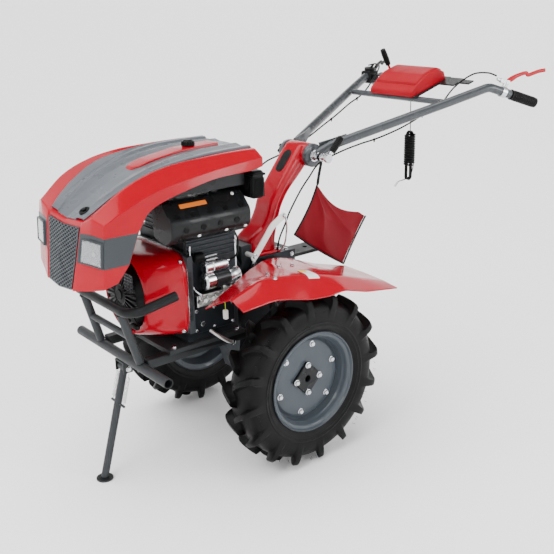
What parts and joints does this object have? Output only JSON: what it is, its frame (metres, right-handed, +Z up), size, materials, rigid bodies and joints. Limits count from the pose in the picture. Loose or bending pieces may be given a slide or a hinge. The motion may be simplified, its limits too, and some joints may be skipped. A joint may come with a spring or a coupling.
{
  "type": "power tiller",
  "caption": "Two-wheel walking tractor with hooded diesel engine, tilting handlebar, mudguards and a folding front stand.",
  "frame": {"origin": "centre of the bounding box, on the ground under the machine", "axes": "+Z up; -Y towards the hood, where the machine drives; +X towards the machine's left"},
  "size_m": [0.804, 1.7741, 1.2735],
  "materials": {
    "frame_grey": "satin powder coat",
    "cast_grey": "painted casting",
    "red_paint": "gloss",
    "black_plastic": "matte",
    "zinc_steel": "zinc plated",
    "bare_alloy": "die cast",
    "black_paint": "satin",
    "hood_red": "gloss",
    "hood_grey": "satin",
    "lens": "clear",
    "white_paint": "gloss",
    "red_fabric": "coated nylon",
    "rubber": "matte",
    "white_plastic": "moulded",
    "tyre": "matte",
    "wheel_grey": "satin",
    "handle_grey": "satin powder coat",
    "red_plastic": "grained"
  },
  "bodies": {
    "chassis": {"bumper_frame": "frame_grey", "front_cross_tube": "frame_grey", "engine_rails": "frame_grey", "stand_bracket": "frame_grey", "engine_block": "cast_grey", "fan_shroud": "red_paint", "recoil_starter": "black_plastic", "starter_motor": "zinc_steel", "injection_pump": "bare_alloy", "silencer_shield": "black_paint", "air_cleaner": "black_plastic", "fuel_tank": "black_plastic", "hood_shell": "hood_red", "hood_panel": "hood_grey", "grille": "black_plastic", "hood_strip": "hood_red", "fuel_cap": "black_plastic", "headlight_left": "lens", "headlight_right": "lens", "clutch_housing": "cast_grey", "gearbox_case": "cast_grey", "clutch_arm": "white_paint", "hitch_bracket": "frame_grey", "steering_column": "red_paint", "mudguard_left": "red_paint", "mudguard_right": "red_paint", "tool_bag": "red_fabric", "clutch_cable_low": "rubber", "throttle_cable_low": "rubber", "sensor_lead": "rubber", "sensor_plug": "white_plastic"},
    "wheel_left": {"tyre_left": "tyre", "rim_left": "wheel_grey", "hub_left": "black_paint"},
    "wheel_right": {"tyre_right": "tyre", "rim_right": "wheel_grey", "hub_right": "black_paint"},
    "handlebar": {"handle_tube_left": "handle_grey", "handle_tube_right": "handle_grey", "crossbar": "handle_grey", "grip_left": "rubber", "grip_right": "rubber", "console_plate": "black_plastic", "console_cover": "red_plastic", "gear_lever": "black_plastic", "lock_lever": "black_plastic", "hand_lever_left": "red_plastic", "hand_lever_right": "black_plastic", "clutch_cable_high": "rubber", "throttle_cable_high": "rubber", "harness_lead": "rubber", "harness_hank": "rubber", "harness_tail": "rubber", "harness_plug": "bare_alloy"},
    "stand": {"stand_leg": "frame_grey", "stand_spring_left": "zinc_steel", "stand_spring_right": "zinc_steel"}
  },
  "joints": [
    {"name": "wheel_left_spin", "type": "hinge", "parent": "chassis", "child": "wheel_left", "pos_m": [0.3135, -0.2155, 0.295], "axis": [1, 0, 0], "continuous": true},
    {"name": "wheel_right_spin", "type": "hinge", "parent": "chassis", "child": "wheel_right", "pos_m": [-0.3135, -0.2155, 0.295], "axis": [1, 0, 0], "continuous": true},
    {"name": "handlebar_height", "type": "hinge", "parent": "chassis", "child": "handlebar", "pos_m": [0, 0.0495, 0.956], "axis": [1, 0, 0], "range_deg": [-20, 15]},
    {"name": "stand_fold", "type": "hinge", "parent": "chassis", "child": "stand", "pos_m": [0, -0.6975, 0.368], "axis": [1, 0, 0], "range_deg": [0, 85]}
  ]
}
